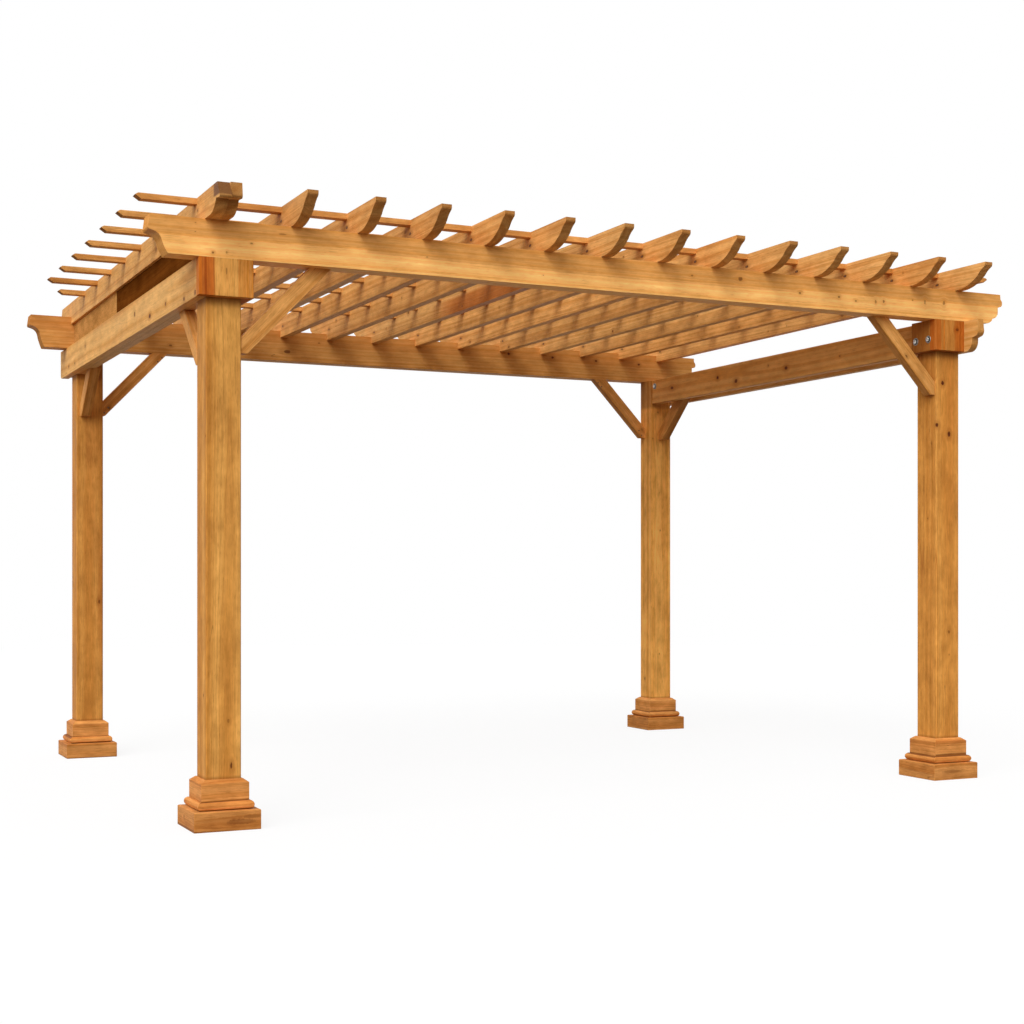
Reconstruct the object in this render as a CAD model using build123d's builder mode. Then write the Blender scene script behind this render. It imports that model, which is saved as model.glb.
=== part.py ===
"""Timber garden pergola: an open frame of four posts, side frames, main beams, rafters and battens.

Millimetres. +Z is up, the floor is Z = 0 and the origin is the middle of the footprint.
+X runs along the long front from its left post to its right post, and -Y faces the front.
"""

from build123d import *
import os

os.makedirs("parts", exist_ok=True)

# Posts
POST = 140.0
LONG_SPACING = 3576.0
SHORT_SPACING = 2698.0
POST_TOP = 2210.0
ARRIS = 4.0

# Mouldings stacked around the foot of each post: reach beyond the post and height
PLINTH_REACH = 62.0
PLINTH_TOP = 77.0
BEAD_REACH = 42.0
BEAD_TOP = 111.0
COLLAR_REACH = 25.0
COLLAR_TOP = 180.0
COLLAR_CREST = 194.0

# Side frames: boards on edge under the main beams
PLY = 38.0
INNER_PLY = 45.0
SIDE_BOTTOM = 2062.0
SIDE_OVERHANG = 128.0
INNER_SET_IN = 5.0

# Main beams along the long sides
BEAM_TOP = 2355.0
REAR_BEAM_RISE = 25.0
BEAM_WIDTH = 95.0
BEAM_OVERHANG = 226.0

# Rafters across the main beams
RAFTER_TOP = 2459.0
RAFTER_SEAT = 12.0
RAFTER_WIDTH = 44.0
OUTER_RAFTER_WIDTH = 48.0
RAFTER_PITCH = 277.6
RAFTER_COUNT = 14
RAFTER_TAIL = 245.0
PAIR_TAIL = 232.0

# Battens let into the tops of the rafters
BATTEN_WIDTH = 45.0
BATTEN_DEPTH = 24.0
BATTEN_PITCH = 328.0
BATTEN_OVERHANG = 255.0
SHORT_BATTEN_LEFT = 150.0

# Short block beside the doubled rafter
BLOCK_LENGTH = 125.0
BLOCK_HEIGHT = 84.0

# Knee braces
BRACE_WIDTH = 48.0
BRACE_RUN = 371.0
BRACE_DROP = 387.0
BRACE_TOP_LENGTH = 87.0
SIDE_BRACE_RUN = 290.0
SIDE_BRACE_DROP = 262.0

HALF_X = (LONG_SPACING + POST) / 2
HALF_Y = (SHORT_SPACING + POST) / 2
POST_X = LONG_SPACING / 2
POST_Y = SHORT_SPACING / 2
INNER_X = HALF_X - POST
INNER_Y = HALF_Y - POST
BRACE_SLOPE = BRACE_DROP / BRACE_RUN


# Four square posts with eased long edges. The corners are named as seen from the front.
corners = {
    "front_left": (-POST_X, -POST_Y),
    "front_right": (POST_X, -POST_Y),
    "rear_left": (-POST_X, POST_Y),
    "rear_right": (POST_X, POST_Y),
}
for corner, (px, py) in corners.items():
    with BuildPart() as post:
        with BuildSketch(Plane.XY):
            with Locations((px, py)):
                Rectangle(POST, POST)
        extrude(amount=POST_TOP)
        chamfer(post.edges().filter_by(Axis.Z), ARRIS)
    post.part.label = f"post_{corner}"
    export_step(post.part, f"parts/post_{corner}.step")

# Plinth blocks: the widest ring, standing on the floor with its top edge eased.
with BuildPart() as plinths:
    with BuildSketch(Plane.XY):
        with Locations(*corners.values()):
            Rectangle(POST + 2 * PLINTH_REACH, POST + 2 * PLINTH_REACH)
            Rectangle(POST, POST, mode=Mode.SUBTRACT)
    extrude(amount=PLINTH_TOP)
    plinth_rims = plinths.edges().group_by(Axis.Z)[-1].filter_by(
        lambda e: max(abs(abs(e.center().X) - POST_X), abs(abs(e.center().Y) - POST_Y)) > POST / 2 + 30
    )
    chamfer(plinth_rims, 3)
plinths.part.label = "base_plinths"
export_step(plinths.part, "parts/base_plinths.step")

# Half-round beading above the plinths: a D section carried around each post.
bead_mid = (PLINTH_TOP + BEAD_TOP) / 2
bead_radius = (BEAD_TOP - PLINTH_TOP) / 2
with BuildPart() as beads:
    with BuildSketch(Plane.XY.offset(PLINTH_TOP)):
        with Locations(*corners.values()):
            Rectangle(POST + 2 * BEAD_REACH, POST + 2 * BEAD_REACH)
            Rectangle(POST, POST, mode=Mode.SUBTRACT)
    extrude(amount=BEAD_TOP - PLINTH_TOP)
    bead_rims = beads.edges().filter_by(
        lambda e: abs(e.center().Z - bead_mid) > 1
        and max(abs(abs(e.center().X) - POST_X), abs(abs(e.center().Y) - POST_Y)) > POST / 2 + 20
    )
    fillet(bead_rims, bead_radius - 0.5)
beads.part.label = "base_mouldings"
export_step(beads.part, "parts/base_mouldings.step")

# Collars: plain blocks with a bevelled top that runs in to the post.
bevel_run = COLLAR_REACH - 6
with BuildPart() as collars:
    with BuildSketch(Plane.XY.offset(BEAD_TOP)):
        with Locations(*corners.values()):
            Rectangle(POST + 2 * COLLAR_REACH, POST + 2 * COLLAR_REACH)
            Rectangle(POST, POST, mode=Mode.SUBTRACT)
    extrude(amount=COLLAR_CREST - BEAD_TOP)
    collar_rims = collars.edges().group_by(Axis.Z)[-1].filter_by(
        lambda e: max(abs(abs(e.center().X) - POST_X), abs(abs(e.center().Y) - POST_Y)) > POST / 2 + 10
    )
    chamfer(collar_rims, COLLAR_CREST - COLLAR_TOP, bevel_run)
collars.part.label = "base_collars"
export_step(collars.part, "parts/base_collars.step")

# Side frames. The outer board of each side runs past one post; its other end stops square behind
# a cap board. The right one ends past the front post in a stepped nose.
side_height = POST_TOP - SIDE_BOTTOM
nose = -HALF_Y - SIDE_OVERHANG
with BuildPart() as right_board:
    with BuildSketch(Plane.YZ.offset(HALF_X)):
        with BuildLine():
            Line((HALF_Y, POST_TOP), (nose, POST_TOP))
            Line((nose, POST_TOP), (nose - 6, POST_TOP - 48))
            ThreePointArc((nose - 6, POST_TOP - 48), (nose - 3, POST_TOP - 70), (nose + 10, POST_TOP - 80))
            Line((nose + 10, POST_TOP - 80), (nose + 34, POST_TOP - 86))
            Line((nose + 34, POST_TOP - 86), (nose + 36, POST_TOP - 112))
            ThreePointArc(
                (nose + 36, POST_TOP - 112),
                (nose + 51, POST_TOP - 137),
                (nose + 80, SIDE_BOTTOM),
            )
            Line((nose + 80, SIDE_BOTTOM), (HALF_Y, SIDE_BOTTOM))
            Line((HALF_Y, SIDE_BOTTOM), (HALF_Y, POST_TOP))
        make_face()
    extrude(amount=PLY)
right_board.part.label = "side_outer_right"
export_step(right_board.part, "parts/side_outer_right.step")

# The left one ends past the rear post, plumb with a rounded lower corner.
tail_end = HALF_Y + SIDE_OVERHANG
with BuildPart() as left_board:
    with BuildSketch(Plane.YZ.offset(-HALF_X - PLY)):
        with BuildLine():
            Line((-HALF_Y, POST_TOP), (tail_end, POST_TOP))
            Line((tail_end, POST_TOP), (tail_end, SIDE_BOTTOM + 24))
            RadiusArc((tail_end, SIDE_BOTTOM + 24), (tail_end - 24, SIDE_BOTTOM), 24)
            Line((tail_end - 24, SIDE_BOTTOM), (-HALF_Y, SIDE_BOTTOM))
            Line((-HALF_Y, SIDE_BOTTOM), (-HALF_Y, POST_TOP))
        make_face()
    extrude(amount=PLY)
left_board.part.label = "side_outer_left"
export_step(left_board.part, "parts/side_outer_left.step")

# Inner boards of the side frames, between the posts.
inner_walls = {"left": -HALF_X, "right": INNER_X + INNER_SET_IN}
for side, wall in inner_walls.items():
    with BuildPart() as inner_board:
        with BuildSketch(Plane.YZ.offset(wall)):
            with Locations((0, (POST_TOP + SIDE_BOTTOM) / 2)):
                Rectangle(SHORT_SPACING - POST, side_height)
        extrude(amount=INNER_PLY)
        chamfer(inner_board.edges().filter_by(Axis.Y).group_by(Axis.Z)[0], 2)
    inner_board.part.label = f"side_inner_{side}"
    export_step(inner_board.part, f"parts/side_inner_{side}.step")

# Cap boards across the outside of the post heads, level with the side frames.
caps = {
    "front_left": (-HALF_X - PLY, -INNER_X + PLY, -HALF_Y - PLY),
    "front_right": (INNER_X - PLY, HALF_X, -HALF_Y - PLY),
    "rear_left": (-HALF_X, -INNER_X + PLY, HALF_Y),
    "rear_right": (INNER_X - PLY, HALF_X + PLY, HALF_Y),
}
for corner, (left, right, near) in caps.items():
    with BuildPart() as cap:
        with BuildSketch(Plane.XY.offset(SIDE_BOTTOM)):
            with Locations(((left + right) / 2, near + PLY / 2)):
                Rectangle(right - left, PLY)
        extrude(amount=side_height)
        chamfer(cap.edges().group_by(Axis.Z)[0], 2)
    cap.part.label = f"cap_{corner}"
    export_step(cap.part, f"parts/cap_{corner}.step")

# Cheek boards on the inner faces of the front post heads.
cheeks = {"front_left": -INNER_X, "front_right": INNER_X - PLY}
for corner, left in cheeks.items():
    with BuildPart() as cheek:
        with BuildSketch(Plane.XY.offset(SIDE_BOTTOM)):
            with Locations((left + PLY / 2, -HALF_Y + 67)):
                Rectangle(PLY, 134)
        extrude(amount=side_height)
        chamfer(cheek.edges().group_by(Axis.Z)[0], 2)
    cheek.part.label = f"cheek_{corner}"
    export_step(cheek.part, f"parts/cheek_{corner}.step")

# Main beams on the post heads. Each has a moulded nose at both ends: on the left a lip and a
# double curve that runs to the underside, on the right a lip and two rounded steps.
beam_end = HALF_X + BEAM_OVERHANG
beams = {
    "front": (-HALF_Y - PLY, BEAM_TOP),
    "rear": (HALF_Y + PLY - BEAM_WIDTH, BEAM_TOP + REAR_BEAM_RISE),
}
for side, (near, top) in beams.items():
    with BuildPart() as beam:
        with BuildSketch(Plane.XZ.offset(-near)):
            with BuildLine():
                Line((-beam_end, top), (beam_end, top))
                Line((beam_end, top), (beam_end + 2, top - 24))
                ThreePointArc(
                    (beam_end + 2, top - 24),
                    (beam_end + 12, top - 43),
                    (beam_end + 6, top - 58),
                )
                Line((beam_end + 6, top - 58), (beam_end - 15, top - 64))
                Line((beam_end - 15, top - 64), (beam_end - 15, top - 88))
                ThreePointArc(
                    (beam_end - 15, top - 88),
                    (beam_end - 25, top - 110),
                    (beam_end - 48, top - 119),
                )
                Line((beam_end - 48, top - 119), (beam_end - 52, top - 128))
                ThreePointArc(
                    (beam_end - 52, top - 128),
                    (beam_end - 66, (top - 128 + POST_TOP) / 2 - 3),
                    (beam_end - 90, POST_TOP),
                )
                Line((beam_end - 90, POST_TOP), (-beam_end + 69, POST_TOP))
                ThreePointArc(
                    (-beam_end + 69, POST_TOP),
                    (-beam_end + 55, (top - 96 + POST_TOP) / 2),
                    (-beam_end + 46, top - 96),
                )
                ThreePointArc(
                    (-beam_end + 46, top - 96),
                    (-beam_end + 35, top - 75),
                    (-beam_end + 17, top - 63),
                )
                Line((-beam_end + 17, top - 63), (-beam_end - 4, top - 57))
                Line((-beam_end - 4, top - 57), (-beam_end - 7, top - 50))
                Line((-beam_end - 7, top - 50), (-beam_end, top))
            make_face()
        extrude(amount=-BEAM_WIDTH)
    beam.part.label = f"beam_{side}"
    export_step(beam.part, f"parts/beam_{side}.step")

# Infill board over the left side frame, between the main beams and under the doubled rafter.
with BuildPart() as infill:
    with BuildSketch(Plane.YZ.offset(-HALF_X)):
        with Locations((0, (POST_TOP + BEAM_TOP - RAFTER_SEAT) / 2)):
            Rectangle(2 * (HALF_Y + PLY - BEAM_WIDTH), BEAM_TOP - RAFTER_SEAT - POST_TOP)
    extrude(amount=INNER_PLY)
infill.part.label = "side_upper_left"
export_step(infill.part, "parts/side_upper_left.step")

# Rafters: checked over both main beams, notched on top for the battens, with shaped tails.
seat_near = HALF_Y + PLY - BEAM_WIDTH
rafter_bottom = BEAM_TOP - RAFTER_SEAT
rear_notch = (seat_near + BEAM_WIDTH / 2, BEAM_TOP + REAR_BEAM_RISE / 2)
batten_rows = [BATTEN_PITCH * (row - 4) for row in range(8)]
first_rafter = -HALF_X + 34.0
for index in range(RAFTER_COUNT):
    left = first_rafter + (0 if index == 0 else 18 + RAFTER_PITCH * index)
    if index > 0:
        tail = HALF_Y + RAFTER_TAIL
        with BuildPart() as rafter:
            with BuildSketch(Plane.YZ.offset(left)) as rafter_face:
                with BuildLine():
                    Line((0, RAFTER_TOP), (tail, RAFTER_TOP))
                    Line((tail, RAFTER_TOP), (tail, RAFTER_TOP - 11))
                    ThreePointArc(
                        (tail, RAFTER_TOP - 11),
                        (tail - 2, RAFTER_TOP - 17),
                        (tail - 8, RAFTER_TOP - 22),
                    )
                    ThreePointArc(
                        (tail - 8, RAFTER_TOP - 22),
                        (tail - 31, RAFTER_TOP - 36),
                        (tail - 50, RAFTER_TOP - 54.7),
                    )
                    ThreePointArc(
                        (tail - 50, RAFTER_TOP - 54.7),
                        (tail - 118.3, RAFTER_TOP - 91.3),
                        (tail - 195, BEAM_TOP),
                    )
                    Line((tail - 195, BEAM_TOP), (seat_near, BEAM_TOP))
                    Line((seat_near, BEAM_TOP), (seat_near, rafter_bottom))
                    Line((seat_near, rafter_bottom), (0, rafter_bottom))
                    mirror(about=Plane.YZ)
                make_face()
                with Locations(*[(y, RAFTER_TOP - BATTEN_DEPTH / 2) for y in batten_rows]):
                    Rectangle(BATTEN_WIDTH, BATTEN_DEPTH, mode=Mode.SUBTRACT)
                with Locations(rear_notch):
                    Rectangle(BEAM_WIDTH, REAR_BEAM_RISE, mode=Mode.SUBTRACT)
            extrude(amount=RAFTER_WIDTH)
    else:
        tail = HALF_Y + PAIR_TAIL
        with BuildPart() as rafter:
            with BuildSketch(Plane.YZ.offset(left)) as rafter_face:
                with BuildLine():
                    Line((0, RAFTER_TOP), (tail, RAFTER_TOP))
                    Line((tail, RAFTER_TOP), (tail + 6, RAFTER_TOP - 46))
                    ThreePointArc(
                        (tail + 6, RAFTER_TOP - 46),
                        (tail + 3, RAFTER_TOP - 56),
                        (tail - 10, RAFTER_TOP - 58),
                    )
                    Line((tail - 10, RAFTER_TOP - 58), (tail - 48, RAFTER_TOP - 56))
                    ThreePointArc(
                        (tail - 48, RAFTER_TOP - 56),
                        (tail - 82.5, RAFTER_TOP - 91.1),
                        (tail - 130, BEAM_TOP),
                    )
                    Line((tail - 130, BEAM_TOP), (seat_near, BEAM_TOP))
                    Line((seat_near, BEAM_TOP), (seat_near, rafter_bottom))
                    Line((seat_near, rafter_bottom), (0, rafter_bottom))
                    mirror(about=Plane.YZ)
                make_face()
                with Locations(*[(y, RAFTER_TOP - BATTEN_DEPTH / 2) for y in batten_rows]):
                    Rectangle(BATTEN_WIDTH, BATTEN_DEPTH, mode=Mode.SUBTRACT)
                with Locations(rear_notch):
                    Rectangle(BEAM_WIDTH, REAR_BEAM_RISE, mode=Mode.SUBTRACT)
            extrude(amount=RAFTER_WIDTH)
    rafter.part.label = f"rafter_{index + 1:02d}"
    export_step(rafter.part, f"parts/rafter_{index + 1:02d}.step")

# Outer board that doubles the first rafter on its left.
tail = HALF_Y + PAIR_TAIL
with BuildPart() as double_board:
    with BuildSketch(Plane.YZ.offset(first_rafter - OUTER_RAFTER_WIDTH)):
        with BuildLine():
            Line((0, RAFTER_TOP), (tail - 14, RAFTER_TOP))
            Line((tail - 14, RAFTER_TOP), (tail + 18, RAFTER_TOP - 52))
            ThreePointArc(
                (tail + 18, RAFTER_TOP - 52),
                (tail + 17, RAFTER_TOP - 62),
                (tail + 6, RAFTER_TOP - 64),
            )
            Line((tail + 6, RAFTER_TOP - 64), (tail - 32, RAFTER_TOP - 58))
            ThreePointArc(
                (tail - 32, RAFTER_TOP - 58),
                (tail - 70.3, RAFTER_TOP - 91.8),
                (tail - 120, BEAM_TOP),
            )
            Line((tail - 120, BEAM_TOP), (seat_near, BEAM_TOP))
            Line((seat_near, BEAM_TOP), (seat_near, rafter_bottom))
            Line((seat_near, rafter_bottom), (0, rafter_bottom))
            mirror(about=Plane.YZ)
        make_face()
        with Locations(*[(y, RAFTER_TOP - BATTEN_DEPTH / 2) for y in batten_rows]):
            Rectangle(BATTEN_WIDTH, BATTEN_DEPTH, mode=Mode.SUBTRACT)
        with Locations(rear_notch):
            Rectangle(BEAM_WIDTH, REAR_BEAM_RISE, mode=Mode.SUBTRACT)
    extrude(amount=OUTER_RAFTER_WIDTH)
double_board.part.label = "rafter_double"
export_step(double_board.part, "parts/rafter_double.step")

# Battens: laid flat in the rafter notches. Both ends are nipped to a blunt point that is
# bevelled a little above and more below. The last one is short on its left.
batten_right = HALF_X + BATTEN_OVERHANG
with BuildPart() as battens:
    for row, y in enumerate(batten_rows):
        batten_left = -HALF_X - (BATTEN_OVERHANG if row < 7 else SHORT_BATTEN_LEFT)
        with BuildSketch(Plane.XZ.offset(-(y - BATTEN_WIDTH / 2))):
            with BuildLine():
                Polyline(
                    (batten_left + 12, RAFTER_TOP),
                    (batten_right - 12, RAFTER_TOP),
                    (batten_right, RAFTER_TOP - 8),
                    (batten_right - 24, RAFTER_TOP - BATTEN_DEPTH),
                    (batten_left + 24, RAFTER_TOP - BATTEN_DEPTH),
                    (batten_left, RAFTER_TOP - 8),
                    (batten_left + 12, RAFTER_TOP),
                )
            make_face()
        extrude(amount=-BATTEN_WIDTH)
battens.part.label = "battens"
export_step(battens.part, "parts/battens.step")

# Knee braces in the planes of the main beams: from the inner face of each post up to the beam.
brace_lines = {
    "brace_front_left_long": (-INNER_X, 1, -HALF_Y - PLY + BEAM_WIDTH),
    "brace_front_right_long": (INNER_X, -1, -HALF_Y - PLY + BEAM_WIDTH),
    "brace_rear_left_long": (-INNER_X, 1, HALF_Y + PLY - BEAM_WIDTH + BRACE_WIDTH),
    "brace_rear_right_long": (INNER_X, -1, HALF_Y + PLY - BEAM_WIDTH + BRACE_WIDTH),
}
FOOT_CUT = 28.0
for name, (foot, way, far) in brace_lines.items():
    inner_run = BRACE_RUN - BRACE_TOP_LENGTH
    with BuildPart() as brace:
        with BuildSketch(Plane.XZ.offset(-far)):
            with BuildLine():
                Polyline(
                    (foot, POST_TOP - BRACE_DROP + FOOT_CUT * BRACE_SLOPE),
                    (foot + way * FOOT_CUT, POST_TOP - BRACE_DROP + FOOT_CUT * BRACE_SLOPE),
                    (foot + way * BRACE_RUN, POST_TOP),
                    (foot + way * inner_run, POST_TOP),
                    (foot, POST_TOP - BRACE_SLOPE * inner_run),
                    (foot, POST_TOP - BRACE_DROP + FOOT_CUT * BRACE_SLOPE),
                )
            make_face()
        extrude(amount=BRACE_WIDTH)
    brace.part.label = name
    export_step(brace.part, f"parts/{name}.step")

# Knee braces of the side frames: the left pair meet the underside of the inner board, the right one
# stands beside it and laps up its outer face. The front right post has none.
side_braces = {
    "brace_front_left_side": (-INNER_Y, 1, -HALF_X, INNER_PLY, SIDE_BOTTOM),
    "brace_rear_left_side": (INNER_Y, -1, -HALF_X, INNER_PLY, SIDE_BOTTOM),
    "brace_rear_right_side": (INNER_Y, -1, INNER_X + INNER_SET_IN + INNER_PLY, BRACE_WIDTH, POST_TOP - 50),
}
side_slope = SIDE_BRACE_DROP / SIDE_BRACE_RUN
for name, (foot, way, left, width, head) in side_braces.items():
    foot_z = SIDE_BOTTOM - SIDE_BRACE_DROP
    run = (head - foot_z) / side_slope
    with BuildPart() as brace:
        with BuildSketch(Plane.YZ.offset(left)):
            with BuildLine():
                Polyline(
                    (foot, foot_z + 16 * side_slope),
                    (foot + way * 16, foot_z + 16 * side_slope),
                    (foot + way * run, head),
                    (foot + way * (run - BRACE_TOP_LENGTH), head),
                    (foot, foot_z + BRACE_TOP_LENGTH * side_slope),
                    (foot, foot_z + 16 * side_slope),
                )
            make_face()
        extrude(amount=width)
    brace.part.label = name
    export_step(brace.part, f"parts/{name}.step")

# Short block that stands on the rear beam against the doubled rafter.
with BuildPart() as block:
    with BuildSketch(Plane.XY.offset(BEAM_TOP + REAR_BEAM_RISE)):
        with Locations((first_rafter + RAFTER_WIDTH + BLOCK_LENGTH / 2, seat_near + 22.5)):
            Rectangle(BLOCK_LENGTH, 45)
    extrude(amount=BLOCK_HEIGHT - REAR_BEAM_RISE)
block.part.label = "rafter_block"
export_step(block.part, "parts/rafter_block.step")
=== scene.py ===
"""Dresses the timber pergola: wood finishes, eased edges, bolts, screws, lamps and camera."""
import logging
import math
import random
from abc import ABC, abstractmethod
from dataclasses import dataclass, field, replace
from enum import Enum
from typing import Any, Optional, Sequence, Union

import bmesh
import bpy
from mathutils import Matrix, Vector


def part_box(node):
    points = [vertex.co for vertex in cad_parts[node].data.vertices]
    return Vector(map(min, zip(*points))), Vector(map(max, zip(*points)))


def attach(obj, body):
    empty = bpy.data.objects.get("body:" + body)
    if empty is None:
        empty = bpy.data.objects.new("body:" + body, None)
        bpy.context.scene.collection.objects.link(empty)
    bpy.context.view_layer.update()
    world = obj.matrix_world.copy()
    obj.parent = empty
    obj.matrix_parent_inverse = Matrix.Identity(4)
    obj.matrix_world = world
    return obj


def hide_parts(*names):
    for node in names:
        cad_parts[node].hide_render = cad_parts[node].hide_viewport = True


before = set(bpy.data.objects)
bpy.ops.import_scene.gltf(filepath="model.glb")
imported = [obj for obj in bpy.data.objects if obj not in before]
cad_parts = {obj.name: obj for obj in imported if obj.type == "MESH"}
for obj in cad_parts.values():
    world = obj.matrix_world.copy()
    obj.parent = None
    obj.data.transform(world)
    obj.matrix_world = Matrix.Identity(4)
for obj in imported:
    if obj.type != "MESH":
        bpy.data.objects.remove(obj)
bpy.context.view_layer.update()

LOG = logging.getLogger("pergola")
Triple = tuple[float, float, float]
Socket = bpy.types.NodeSocket
Feed = Union[Socket, float, Sequence[float]]

# Places in the frame, in metres from its middle and from the floor
POST_X, POST_Y = 1.788, 1.349
OUTER_X, OUTER_Y = 1.858, 1.419
CHEEK_X, INNER_X, INNER_LEFT_X = 1.68, 1.723, -1.813
BEAM_INNER_Y = 1.362
BOARD = 0.038
CAP_FOOT, CAP_TOP = 2.062, 2.21
RAFTER_COUNT = 14
BATTEN_PITCH = 0.328
BATTEN_ROWS = range(-4, 4)
POCKETS = (-1.326, 1.318)
POCKET_HEIGHT = 2.402

# How far off in the noise a piece may lie, so that no two look alike
FAR_OFF = 40.0

# Limits of a stain across a piece that it covers from edge to edge
WHOLE = (-9.0, 9.0)

# Outward directions of the faces that carry scattered knots
ALL_SIDES = ((1, 0, 0), (-1, 0, 0), (0, 1, 0), (0, -1, 0))
BROAD_SIDES = ((-1, 0, 0), (1, 0, 0))
LONG_SIDES = ((0, 1, 0), (0, -1, 0))


def tint(red: float, green: float, blue: float) -> Triple:
    """Turns a screen colour into the linear colour that shaders use.

    Args:
        red: Red on the screen, 0 to 255.
        green: Green on the screen, 0 to 255.
        blue: Blue on the screen, 0 to 255.

    Returns:
        The three linear values.
    """
    def straight(value: float) -> float:
        """Undoes the screen curve of one channel."""
        part = value / 255.0
        return part / 12.92 if part <= 0.04045 else ((part + 0.055) / 1.055) ** 2.4
    return straight(red), straight(green), straight(blue)


class Wiring:
    """Short calls that lay the nodes of one tree."""

    def __init__(self, tree: bpy.types.NodeTree) -> None:
        """Takes the tree that the nodes go into."""
        self.tree = tree

    def node(self, kind: str, **settings: Any) -> bpy.types.Node:
        """Adds one node.

        Args:
            kind: The node's type name.
            settings: Properties to set on it.

        Returns:
            The new node.
        """
        made = self.tree.nodes.new(kind)
        for name, value in settings.items():
            setattr(made, name, value)
        return made

    def feed(self, socket: Socket, value: Feed) -> None:
        """Links a socket to another one, or sets its value.

        Args:
            socket: The input.
            value: An output, a number, a vector, or a colour without its alpha.
        """
        if isinstance(value, bpy.types.NodeSocket):
            self.tree.links.new(value, socket)
        elif isinstance(value, (int, float)):
            socket.default_value = value
        else:
            size = len(socket.default_value)
            socket.default_value = (tuple(value) + (1.0,))[:size]

    def fed(self, kind: str, values: Sequence[Feed], **settings: Any) -> bpy.types.Node:
        """Adds one node and feeds the inputs that it uses, in their order.

        Args:
            kind: The node's type name.
            values: What goes into the inputs.
            settings: Properties to set on it.

        Returns:
            The new node.
        """
        made = self.node(kind, **settings)
        for socket, value in zip([s for s in made.inputs if s.enabled], values):
            self.feed(socket, value)
        return made

    def reckon(self, operation: str, *values: Feed, clamp: bool = False) -> Socket:
        """The result of a Math node."""
        return self.fed("ShaderNodeMath", values, operation=operation, use_clamp=clamp).outputs[0]

    def plus(self, first: Feed, second: Feed, clamp: bool = False) -> Socket:
        """Two numbers added."""
        return self.reckon("ADD", first, second, clamp=clamp)

    def minus(self, first: Feed, second: Feed) -> Socket:
        """The second number taken from the first."""
        return self.reckon("SUBTRACT", first, second)

    def times(self, first: Feed, second: Feed) -> Socket:
        """Two numbers multiplied."""
        return self.reckon("MULTIPLY", first, second)

    def vector(self, operation: str, *values: Feed) -> Socket:
        """The vector that a Vector Math node gives."""
        return self.fed("ShaderNodeVectorMath", values, operation=operation).outputs["Vector"]

    def scaled(self, vector: Feed, by: Feed) -> Socket:
        """A vector multiplied axis by axis."""
        return self.vector("MULTIPLY", vector, by)

    def measure(self, operation: str, *values: Feed) -> Socket:
        """The number that a Vector Math node gives."""
        return self.fed("ShaderNodeVectorMath", values, operation=operation).outputs["Value"]

    def join(self, *parts: Feed) -> Socket:
        """Three numbers put together as a vector."""
        return self.fed("ShaderNodeCombineXYZ", parts).outputs[0]

    def split(self, vector: Socket) -> tuple[Socket, ...]:
        """A vector taken apart into its three numbers."""
        return tuple(self.fed("ShaderNodeSeparateXYZ", (vector,)).outputs)

    def rise(self, value: Feed, low: float, high: float, top: float = 1.0) -> Socket:
        """A soft step, which falls where low is the larger one.

        Args:
            value: What it goes by.
            low: Where it is 0.
            high: Where it is at its top.
            top: Its height.

        Returns:
            The step.
        """
        span = (low, high, 0.0, top) if low <= high else (high, low, top, 0.0)
        return self.fed("ShaderNodeMapRange", (value, *span), interpolation_type="SMOOTHSTEP",
                        clamp=True).outputs["Result"]

    def noise(self, point: Feed, detail: float = 2.0, rough: float = 0.5,
              colour: bool = False) -> Socket:
        """Noise through space, at one unit per cell.

        Args:
            point: Where it is read.
            detail: How many finer layers it has.
            rough: How much each finer layer counts.
            colour: Whether to give three values at once.

        Returns:
            The noise.
        """
        made = self._noise("3D", "Vector", point, detail, rough)
        return made.outputs["Color" if colour else "Fac"]

    def line_noise(self, place: Feed, detail: float, rough: float) -> Socket:
        """Noise along a line, at one unit per cell."""
        return self._noise("1D", "W", place, detail, rough).outputs["Fac"]

    def _noise(self, spread: str, socket: str, place: Feed, detail: float,
               rough: float) -> bpy.types.Node:
        """Adds a noise node.

        Args:
            spread: How many dimensions it has.
            socket: The input that takes its place.
            place: Where it is read.
            detail: How many finer layers it has.
            rough: How much each finer layer counts.

        Returns:
            The new node.
        """
        made = self.node("ShaderNodeTexNoise", noise_dimensions=spread)
        for name, value in ((socket, place), ("Scale", 1.0), ("Detail", detail),
                            ("Roughness", rough)):
            self.feed(made.inputs[name], value)
        return made

    def _mix(self, values: Sequence[Feed], **settings: Any) -> Socket:
        """The result of a Mix node."""
        made = self.fed("ShaderNodeMix", values, **settings)
        return next(socket for socket in made.outputs if socket.enabled)

    def colour(self, share: Feed, first: Feed, second: Feed, way: str = "MIX") -> Socket:
        """Two colours mixed."""
        return self._mix((share, first, second), data_type="RGBA", blend_type=way)

    def pick(self, share: Feed, first: Feed, second: Feed) -> Socket:
        """Two vectors mixed."""
        return self._mix((share, first, second), data_type="VECTOR")

    def relief(self, height: Socket, strength: float, distance: float) -> Socket:
        """The direction of a surface that a bump turns.

        Args:
            height: The bump's height.
            strength: How much it counts.
            distance: How high a height of 1 is, in metres.

        Returns:
            The direction.
        """
        made = self.node("ShaderNodeBump")
        made.inputs["Strength"].default_value = strength
        made.inputs["Distance"].default_value = distance
        self.feed(made.inputs["Height"], height)
        return made.outputs[0]

    def plain(self, kind: str, colour: Triple) -> Socket:
        """The result of a shader or a background of one colour."""
        return self.fed(kind, (colour,)).outputs[0]

    def either(self, share: Feed, first: Socket, second: Socket) -> Socket:
        """Two shaders mixed."""
        return self.fed("ShaderNodeMixShader", (share, first, second)).outputs[0]

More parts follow.
